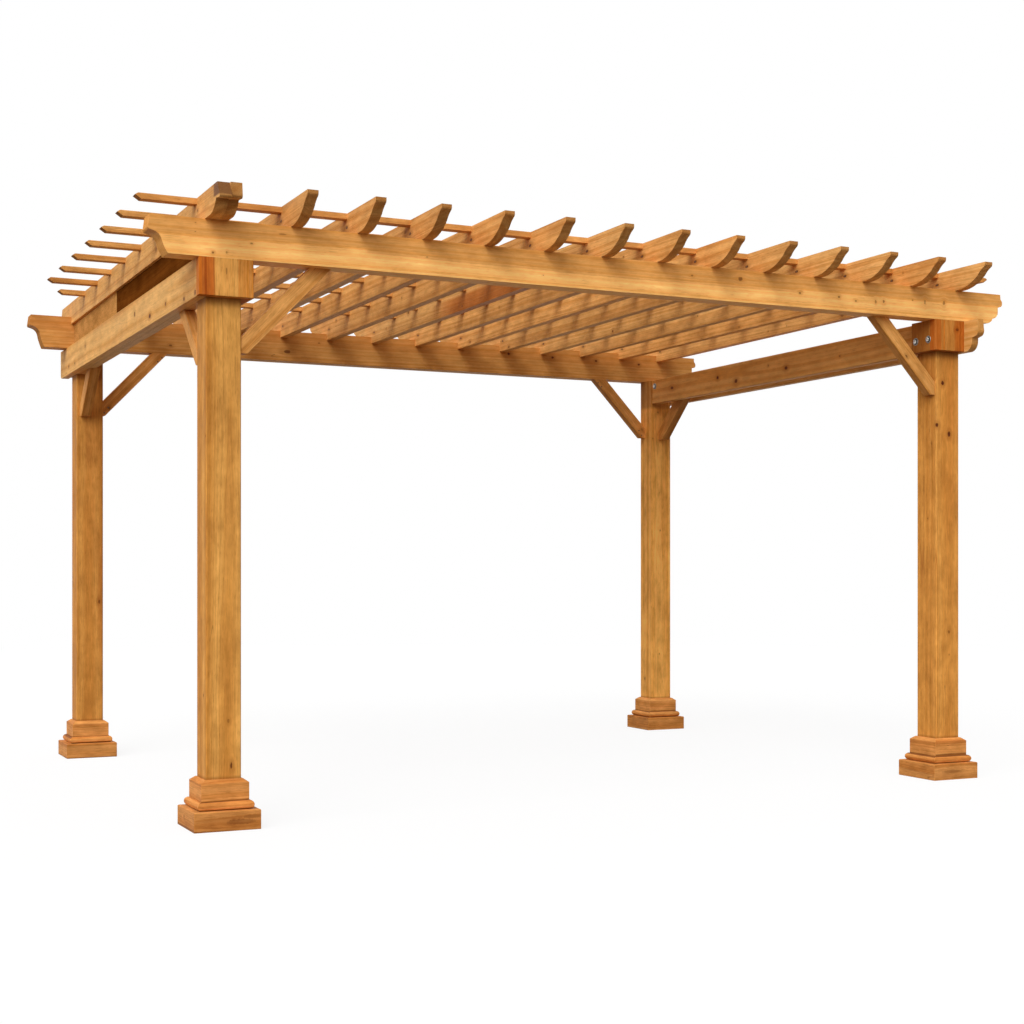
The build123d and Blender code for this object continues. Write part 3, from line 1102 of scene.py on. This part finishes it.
@dataclass
class SideFrames:
    """The outer, inner and upper boards under the main beams, at both ends."""

    joint: float = 0.24

    def dress(self) -> None:
        """Finishes the five boards."""
        left = knots_on(0, -OUTER_X - BOARD, (
            (-0.3268, 2.1506, 0.012, 0.012, 0.8), (-0.627, 2.0985, 0.016, 0.010),
            (-1.40, 2.0785, 0.010, 0.012), (-1.226, 2.0798, 0.010, 0.008)))
        right = knots_on(0, INNER_X, (
            (1.0382, 2.1386, 0.016, 0.009), (0.5196, 2.1466, 0.012, 0.010),
            (0.324, 2.1055, 0.014, 0.012), (-0.1728, 2.1242, 0.014, 0.010)))
        # side_upper_left is dark brown as painted shade; rear_length brings its rear part back to
        # plain timber tone, and butt_joint draws a dark joint line between
        rear_length = StainOrPaintedShade("y", *WHOLE, tint(206, 148, 84), 0.9, start=self.joint, ramp=0.002)
        butt_joint = StainOrPaintedShade("y", *WHOLE, tint(44, 22, 6), 0.9, start=self.joint - 0.003,
                           stop=self.joint + 0.001, ramp=0.002)
        rows = (
            ("outer_left", HONEY.toned(0.99), 301, left, 5, 0.008, BROAD_SIDES, (), (0.05, 0.02)),
            ("outer_right", HONEY.toned(0.92), 303, (), 8, 0.009, BROAD_SIDES, (), (-0.05, 0.05)),
            ("upper_left", PAINTED_SHADE_TIMBER, 309, (), 3, 0.008, BROAD_SIDES, (rear_length, butt_joint),
             (0.05, 0.03)),
            ("inner_left", HONEY.toned(0.9, 0.08), 305, (), 7, 0.009, BROAD_SIDES[1:], (),
             (0.06, 0.0)),
            ("inner_right", HONEY.toned(1.0, 0.12), 307, right, 4, 0.008, BROAD_SIDES, (),
             (-0.06, 0.03)))
        for name, finish, seed, knots, count, size, faces, stains_and_shade, pith in rows:
            node = f"side_{name}"
            Piece(node, finish, Along.DEPTH, seed,
                  knots + scattered(node, count, seed + 1, size, faces), stains_and_shade, pith).dress()


@dataclass
class Caps:
    """The cap boards over the post heads and the cheeks inside the front posts."""

    face: float = OUTER_Y + BOARD
    rear_left: tuple[float, float] = (-1.858, -1.742)
    rear_right: tuple[float, float] = (1.742, 1.896)

    def dress(self) -> None:
        """Finishes each board, with its grain upright."""
        rust, ember, dark = tint(186, 84, 12), tint(204, 112, 30), tint(150, 62, 8)
        fronts = (
            ("left", CAP, 401, (0.09, 0.0), Knot((-1.787, -self.face, 2.16), 0.016, 0.003, 0.5),
             ((-0.104, -0.058, rust, 0.78, 0.016), (-0.112, -0.101, ember, 0.6, 0.004),
              (-0.086, -0.081, dark, 0.6, 0.004), (-0.052, -0.049, dark, 0.5, 0.003),
              (0.048, 0.051, ember, 0.4, 0.004), (0.066, 0.069, ember, 0.4, 0.004),
              (0.082, 0.12, ember, 0.3, 0.012))),
            ("right", CAP.toned(0.74, 0.28), 402, (0.09, 0.01),
             Knot((1.815, -self.face, 2.166), 0.007, 0.009, 0.7),
             ((-0.1, -0.06, rust, 0.55, 0.014), (-0.036, -0.032, ember, 0.7, 0.005),
              (0.038, 0.1, tint(178, 88, 18), 0.66, 0.016),
              (0.060, 0.064, tint(140, 60, 8), 0.5, 0.004))))
        for side, finish, seed, pith, knot, stripes in fronts:
            Piece(f"cap_front_{side}", finish, Along.UPRIGHT_SIDE, seed, (knot,),
                  tuple(StainOrPaintedShade("z", *stripe) for stripe in stripes), pith).dress()
        rears = (("left", 403, self.rear_left, (0.02, 0.07)),
                 ("right", 404, self.rear_right, (-0.08, -0.03)))
        for side, seed, (start, stop), stripe in rears:
            centre = ((start + stop) / 2, OUTER_Y + BOARD / 2, (CAP_FOOT + CAP_TOP) / 2)
            outline = ((start, CAP_FOOT), (stop, CAP_FOOT), (stop, CAP_TOP), (start, CAP_TOP))
            SawnBoard(f"cap_rear_{side}", CAP.toned(0.9),
                      StraightGrain(Along.UPRIGHT_SIDE.value, centre), seed, 1, OUTER_Y,
                      self.face, outline, "cap_timber",
                      (StainOrPaintedShade("z", *stripe, rust, 0.6, 0.02),)).build()
        # The cheeks carry painted shade: cap timber toned darker
        for side, finish, seed, pith in (("left", CHEEK_PAINTED_SHADE.toned(1.25), 405, (0.06, 0.01)),
                                         ("right", CHEEK_PAINTED_SHADE, 406, (0.06, 0.02))):
            Piece(f"cheek_front_{side}", finish, Along.UPRIGHT, seed, pith=pith).dress()


@dataclass
class MainBeams:
    """The two main beams along the long sides."""

    front_face: float = -OUTER_Y - BOARD
    eased: float = 0.0022

    def dress(self) -> None:
        """Finishes the front and the rear beam."""
        front = knots_on(1, self.front_face, (
            (-1.8406, 2.2273, 0.0048, 0.0042, 0.70), (-1.6884, 2.2753, 0.0056, 0.0028, 0.56),
            (-1.563, 2.3224, 0.0160, 0.0035, 0.42), (-1.9088, 2.3364, 0.0032, 0.0028, 0.49),
            (-1.9096, 2.3018, 0.0032, 0.0021, 0.49), (-1.7864, 2.2316, 0.0032, 0.0049, 0.42),
            (0.5718, 2.3145, 0.0128, 0.0091, 0.70), (0.3161, 2.3099, 0.0064, 0.0042, 0.56),
            (0.8952, 2.2757, 0.0072, 0.0056, 0.63), (1.1144, 2.2735, 0.0064, 0.0049, 0.63),
            (1.2117, 2.262, 0.0064, 0.0042, 0.56), (1.3265, 2.2666, 0.0048, 0.0084, 0.49),
            (1.3733, 2.2714, 0.0056, 0.0077, 0.63), (1.5439, 2.2899, 0.0032, 0.0028, 0.70),
            (1.6183, 2.2862, 0.0048, 0.0126, 0.49), (1.7336, 2.2902, 0.0072, 0.0112, 0.56),
            (-0.95, 2.285, 0.0048, 0.0028, 0.42), (-0.42, 2.252, 0.0040, 0.0028, 0.35)))
        upper = StainOrPaintedShade("z", 0.018, 0.2, tint(206, 138, 66), 0.6, 0.018)
        streak = StainOrPaintedShade("z", -0.005, 0.006, tint(200, 130, 60), 0.4, 0.006, start=-1.2, stop=0.9)
        # Painted light: the front beam's timber is toned lighter to stand for its sunlit face
        Piece("beam_front", HONEY.toned(1.34, 0.0), Along.LENGTH, 501, front, (upper, streak),
              (0.02, -0.24), self.eased).dress()
        rear = knots_on(1, BEAM_INNER_Y, (
            (0.7546, 2.334, 0.009, 0.007), (1.0563, 2.328, 0.009, 0.007),
            (1.3626, 2.3242, 0.009, 0.007), (1.6727, 2.3181, 0.009, 0.007)))
        # Painted shade: the rear beam's timber is toned darker to stand for the shade under the
        # roof
        Piece("beam_rear", HONEY.toned(0.8, 0.2), Along.LENGTH, 502,
              rear + scattered("beam_rear", 9, 503, 0.009, LONG_SIDES),
              (StainOrPaintedShade("z", 0.02, 0.2, tint(190, 120, 54), 0.5, 0.02),), (-0.03, -0.2),
              self.eased).dress()


@dataclass
class Rafters:
    """The fourteen rafters, the board beside the first one and the block at its rear."""

    streaked: int = 7
    dark_tail: float = -1.60

    def dress(self) -> None:
        """Finishes every rafter with its own tone and knots."""
        chance = random.Random(77)
        for number in range(1, RAFTER_COUNT + 1):
            node = f"rafter_{number:02d}"
            finish = RAFTER.toned(chance.uniform(0.88, 1.02), chance.uniform(0.02, 0.16))
            if number == 1:
                finish = replace(finish, end_shade=0.42)
            stains_and_shade: tuple[StainOrPaintedShade, ...] = ()
            if number == self.streaked:
                stains_and_shade = (StainOrPaintedShade("z", -0.045, 0.012, tint(184, 96, 28), 0.75, 0.03, start=-1.0,
                                stop=0.1, ramp=0.4),)
            # Toe-screw pockets drawn as dark knot marks: painted shade in the holes
            pocket_shade_marks = knots_on(0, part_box(node)[0][0],
                               [(y, POCKET_HEIGHT, 0.013, 0.006, 0.95) for y in POCKETS])
            Piece(node, finish, Along.DEPTH, 600 + number,
                  pocket_shade_marks + scattered(node, 5, 640 + number, 0.007, BROAD_SIDES), stains_and_shade,
                  (chance.uniform(-0.05, 0.05), chance.uniform(-0.13, 0.13))).dress()
        Piece("rafter_double", replace(RAFTER.toned(1.0, 0.02), end_shade=0.3), Along.DEPTH, 690,
              scattered("rafter_double", 6, 691, 0.008, BROAD_SIDES),
              (StainOrPaintedShade("z", 0.004, 9.0, tint(92, 54, 40), 0.85, 0.006, stop=self.dark_tail),),
              (0.03, -0.09)).dress()
        Piece("rafter_block", RAFTER.toned(0.95), Along.LENGTH, 692, pith=(0.03, -0.09)).dress()


@dataclass
class Battens:
    """The flat laths let into the tops of the rafters."""

    height: float = 2.447
    eased: float = 0.0014

    def dress(self) -> None:
        """Finishes the eight laths, each from another part of the tree."""
        grain = RowGrain(BATTEN_PITCH, self.height)
        finished(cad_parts["battens"],
                 LATH.material("battens_timber", grain, 700, pith=(0.01, -0.04)), self.eased)


@dataclass
class Braces:
    """The seven knee braces."""

    long_slope: float = 0.387 / 0.371
    side_slope: float = 0.262 / 0.290
    post_face: float = 1.279
    foot: float = 1.835
    foot_edge: float = 1.229
    plumb: float = 0.058
    eased: float = 0.0016

    def dress(self) -> None:
        """Finishes each brace with its grain along its slope."""
        leans = {"front_left_long": 1, "front_right_long": -1, "rear_left_long": 1,
                 "rear_right_long": -1, "front_left_side": 0}
        for place, (name, lean) in enumerate(leans.items()):
            node = f"brace_{name}"
            along = Vector((lean, 0, self.long_slope) if lean else (0, 1, self.side_slope))
            flat, side = (((0, 1, 0), (0, -1, 0)) if lean else ((1, 0, 0), (-1, 0, 0)))
            grain = self._grain(along, flat, middle(node))
            finish = BRACE.toned(1.02 if "left" in node else 0.94, 0.04)
            knots = scattered(node, 2, 810 + place, 0.007, (side,))
            finished(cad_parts[node],
                     finish.material(f"{node}_timber", grain, 800 + place, knots,
                                     pith=(0.03, 0.05)), self.eased)
        self._rear_side_braces()

    @staticmethod
    def _grain(along: Vector, flat: Triple, centre: Triple) -> StraightGrain:
        """Grain that follows a slope.

        Args:
            along: The slope.
            flat: The way across its upright faces.
            centre: The brace's middle.

        Returns:
            The grain.
        """
        aim = along.normalized()
        return StraightGrain((tuple(aim), flat, tuple(aim.cross(Vector(flat)).normalized())),
                             centre)

    def _rear_side_braces(self) -> None:
        """The two braces of the rear posts in line with the side frames, with level-cut feet."""
        rows = (("left", 831, -1.842, -1.790, CAP_FOOT, 0.92),
                ("right", 832, 1.768, 1.816, 2.16, 0.9))
        for side, seed, near, far, head, tone in rows:
            lower = self.foot_edge - (head - self.foot) / self.side_slope
            upper = self.post_face - (head - self.foot - self.plumb) / self.side_slope
            outline = ((self.post_face, self.foot), (self.foot_edge, self.foot), (lower, head),
                       (upper, head), (self.post_face, self.foot + self.plumb))
            grain = self._grain(Vector((0, -1, self.side_slope)), (1, 0, 0),
                                ((near + far) / 2, 1.1, 1.95))
            SawnBoard(f"brace_rear_{side}_side", BRACE.toned(tone, 0.1), grain, seed, 0, near,
                      far, outline, "brace_timber").build()


@dataclass
class Turned:
    """A small turned form, made by spinning a half outline round an axis."""

    outline: tuple[tuple[float, float], ...]
    sides: int

    def add(self, mesh: bmesh.types.BMesh, at: Triple, facing: Triple, turn: float) -> None:
        """Adds the form to a mesh.

        Args:
            mesh: The mesh that it joins.
            at: Where its axis meets the surface.
            facing: The way that it faces.
            turn: Its turn about its own axis, in radians.
        """
        rest = Vector(facing).to_track_quat("Z", "Y").to_matrix().to_4x4()
        where = Matrix.Translation(Vector(at)) @ rest
        rings: list[list[bmesh.types.BMVert]] = []
        for radius, height in self.outline:
            angles = [turn + 2 * math.pi * i / self.sides for i in range(self.sides)]
            corners = [(radius * math.cos(angle), radius * math.sin(angle), height)
                       for angle in (angles if radius else angles[:1])]
            rings.append([mesh.verts.new(where @ Vector(corner)) for corner in corners])
        for lower, upper in zip(rings, rings[1:]):
            for i in range(self.sides):
                j = (i + 1) % self.sides
                corners = [lower[i % len(lower)], lower[j % len(lower)],
                           upper[j % len(upper)], upper[i % len(upper)]]
                single = list(dict.fromkeys(corners))
                if len(single) > 2:
                    mesh.faces.new(single)


@dataclass
class Fixings:
    """Bolts with washers, toe screws in the rafters and screws in laths and braces."""

    washer: Turned = field(default_factory=lambda: Turned(
        ((0.0, 0.0022), (0.0148, 0.0022), (0.0160, 0.0030), (0.0174, 0.0030), (0.0182, 0.0020),
         (0.0184, -0.0005)), 32))
    shade_collar: Turned = field(default_factory=lambda: Turned(
        ((0.0100, 0.0040), (0.0126, 0.0036), (0.0132, 0.0020)), 24))
    head: Turned = field(default_factory=lambda: Turned(
        ((0.0, 0.0112), (0.0052, 0.0110), (0.0082, 0.0098), (0.0100, 0.0076), (0.0103, 0.0024)), 6))
    screw: Turned = field(default_factory=lambda: Turned(
        ((0.0, 0.0001), (0.0014, 0.0001), (0.0018, 0.0004), (0.0040, 0.0004), (0.0044, 0.0001),
         (0.0045, -0.0006)), 12))
    cheek_places: tuple[tuple[float, float], ...] = ((-1.408, 2.118), (-1.316, 2.118))
    rear_place: tuple[float, float] = (1.247, 2.171)
    brace_places: tuple[tuple[float, float], ...] = (
        (1.694, 1.868), (1.674, 1.898), (1.402, 2.164), (1.378, 2.188))
    astray: float = 0.004

    def make(self) -> None:
        """Builds all the fixings."""
        self._bolts()
        self._lath_screws()
        self._toe_screws()
        self._brace_screws()

    @staticmethod
    def _piece(name: str, mesh: bmesh.types.BMesh, finish: bpy.types.Material) -> None:
        """Turns a mesh into a piece that rides with the frame.

        Args:
            name: The piece's name.
            mesh: The mesh.
            finish: Its material.
        """
        made = built(name, mesh)
        made.data.materials.append(finish)
        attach(made, "root")
        LOG.info("made %s, %d faces", name, len(made.data.polygons))

    def _bolts(self) -> None:
        """Bolts through the cheeks and the rear ends of the inner side boards."""
        places = [((side * CHEEK_X, y, z), (-side, 0, 0))
                  for side in (1, -1) for y, z in self.cheek_places]
        places += [((INNER_X, *self.rear_place), (-1, 0, 0)),
                   ((INNER_LEFT_X, *self.rear_place), (1, 0, 0))]
        # The dark collar ring under each head is painted shade
        layers = (("bolt_washers", self.washer, PLATE), ("bolt_shade_collars", self.shade_collar, PAINTED_SHADE_STEEL),
                  ("bolt_heads", self.head, STEEL))
        for name, form, finish in layers:
            mesh = bmesh.new()
            for number, (at, facing) in enumerate(places):
                form.add(mesh, at, facing, 0.35 * number)
            self._piece(name, mesh, finish.material(f"{name}_steel"))

    def _lath_screws(self) -> None:
        """A countersunk screw where each lath crosses a rafter, a little off the middle."""
        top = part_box("battens")[1][2]
        mesh = bmesh.new()
        chance = random.Random(5)
        for row in BATTEN_ROWS:
            for number in range(1, RAFTER_COUNT + 1):
                x = middle(f"rafter_{number:02d}")[0]
                at = (x + chance.uniform(-self.astray, self.astray),
                      row * BATTEN_PITCH + chance.uniform(-self.astray, self.astray), top)
                self.screw.add(mesh, at, (0, 0, 1), chance.uniform(0, 3))
        self._piece("lath_screws", mesh, SCREW.material("screw_steel"))

    def _toe_screws(self) -> None:
        """A screw in its pocket, low on each rafter beside both beams."""
        mesh = bmesh.new()
        for number in range(1, RAFTER_COUNT + 1):
            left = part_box(f"rafter_{number:02d}")[0][0]
            for y in POCKETS:
                self.screw.add(mesh, (left, y, POCKET_HEIGHT), (-1, 0, 0), 0.4 * number)
        self._piece("toe_screws", mesh, SCREW.material("toe_steel"))

    def _brace_screws(self) -> None:
        """Two screws near each end of the long braces, on their inner faces."""
        mesh = bmesh.new()
        for y, facing in ((-BEAM_INNER_Y, 1), (BEAM_INNER_Y, -1)):
            for side in (-1, 1):
                for out, height in self.brace_places:
                    self.screw.add(mesh, (side * out, y, height), (0, facing, 0), out)
        self._piece("brace_screws", mesh, SCREW.material("brace_steel"))


@dataclass
class Studio:
    """The pale floor, the lamps, the surroundings and the camera."""

    lens: float = 56.37
    stand: Triple = (-3.456, -7.521, 1.001)
    yaw: float = -0.4447
    lift: float = 0.0578
    sky: float = 0.34
    zenith: float = 0.78
    sky_colour: Triple = (1.0, 0.955, 0.89)
    lamps: tuple[tuple[str, float, Triple, float], ...] = (
        ("broad", 2.32, (-1.0, -0.92, 0.90), 66.0), ("key", 0.45, (-0.75, -1.0, 1.15), 18.0))
    lamp_colour: Triple = (1.0, 0.985, 0.955)
    floor_reach: float = 60.0
    floor_fade: tuple[float, float] = (6.0, 14.0)
    floor_lit: Triple = (0.15, 0.11, 0.075)
    floor_shown: Triple = (0.92, 0.95, 1.0)
    floor_white: float = 0.84

    def build(self) -> None:
        """Sets up everything round the object."""
        self._camera()
        self._surroundings()
        self._lamps()
        self._floor()
        bpy.context.scene.view_settings.view_transform = "Standard"

    def _camera(self) -> None:
        """A level camera at the photograph's place, lens and rise."""
        data = bpy.data.cameras.new("view_camera")
        data.lens = self.lens
        data.sensor_width = 36.0
        data.shift_y = self.lift
        data.clip_end = 200.0
        made = placed("view_camera", data)
        made.location = self.stand
        made.rotation_euler = (math.pi / 2, 0.0, self.yaw)
        bpy.context.scene.camera = made

    def _surroundings(self) -> None:
        """White where it is seen, softer where it lights."""
        world = bpy.data.worlds.new("studio")
        bpy.context.scene.world = world
        world.use_nodes = True
        world.node_tree.nodes.clear()
        net = Wiring(world.node_tree)
        height = net.split(net.node("ShaderNodeTexCoord").outputs["Generated"])[2]
        strength = net.plus(net.rise(height, 0.0, 1.0, self.zenith - self.sky), self.sky)
        lighting = net.fed("ShaderNodeBackground", (self.sky_colour, strength)).outputs[0]
        shown = net.plain("ShaderNodeBackground", (1, 1, 1))
        net.close(net.either(net.seen(), lighting, shown), "ShaderNodeOutputWorld")

    def _lamps(self) -> None:
        """A broad lamp and a narrower one, both from the front left and above."""
        for name, energy, origin, soft in self.lamps:
            data = bpy.data.lights.new(name, "SUN")
            data.energy = energy
            data.angle = math.radians(soft)
            data.color = self.lamp_colour
            made = placed(name, data)
            made.rotation_euler = (-Vector(origin)).to_track_quat("-Z", "Y").to_euler()

    def _floor(self) -> None:
        """A wide pale floor that keeps a faint shadow and fades into the surroundings."""
        mesh = bmesh.new()
        bmesh.ops.create_circle(mesh, cap_ends=True, segments=96, radius=self.floor_reach)
        floor = built("floor", mesh)
        made = blank_material("pale_floor", (1, 1, 1))
        net = Wiring(made.node_tree)
        where = net.node("ShaderNodeTexCoord").outputs["Object"]
        far = net.rise(net.measure("LENGTH", where), *self.floor_fade)
        white = net.either(net.reckon("MAXIMUM", far, self.floor_white),
                           net.plain("ShaderNodeBsdfDiffuse", self.floor_shown),
                           net.plain("ShaderNodeEmission", (1, 1, 1)))
        lit = net.plain("ShaderNodeBsdfDiffuse", self.floor_lit)
        net.close(net.either(net.seen(), lit, white))
        floor.data.materials.append(made)


def main() -> None:
    """Dresses the pergola piece by piece, then sets up the studio."""
    logging.basicConfig(level=logging.INFO, format="%(name)s: %(message)s")
    for part in (Posts(), Bases(), SideFrames(), Caps(), MainBeams(), Rafters(), Battens(),
                 Braces()):
        part.dress()
    Fixings().make()
    Studio().build()
    bpy.context.view_layer.update()


if __name__ == "__main__":
    main()
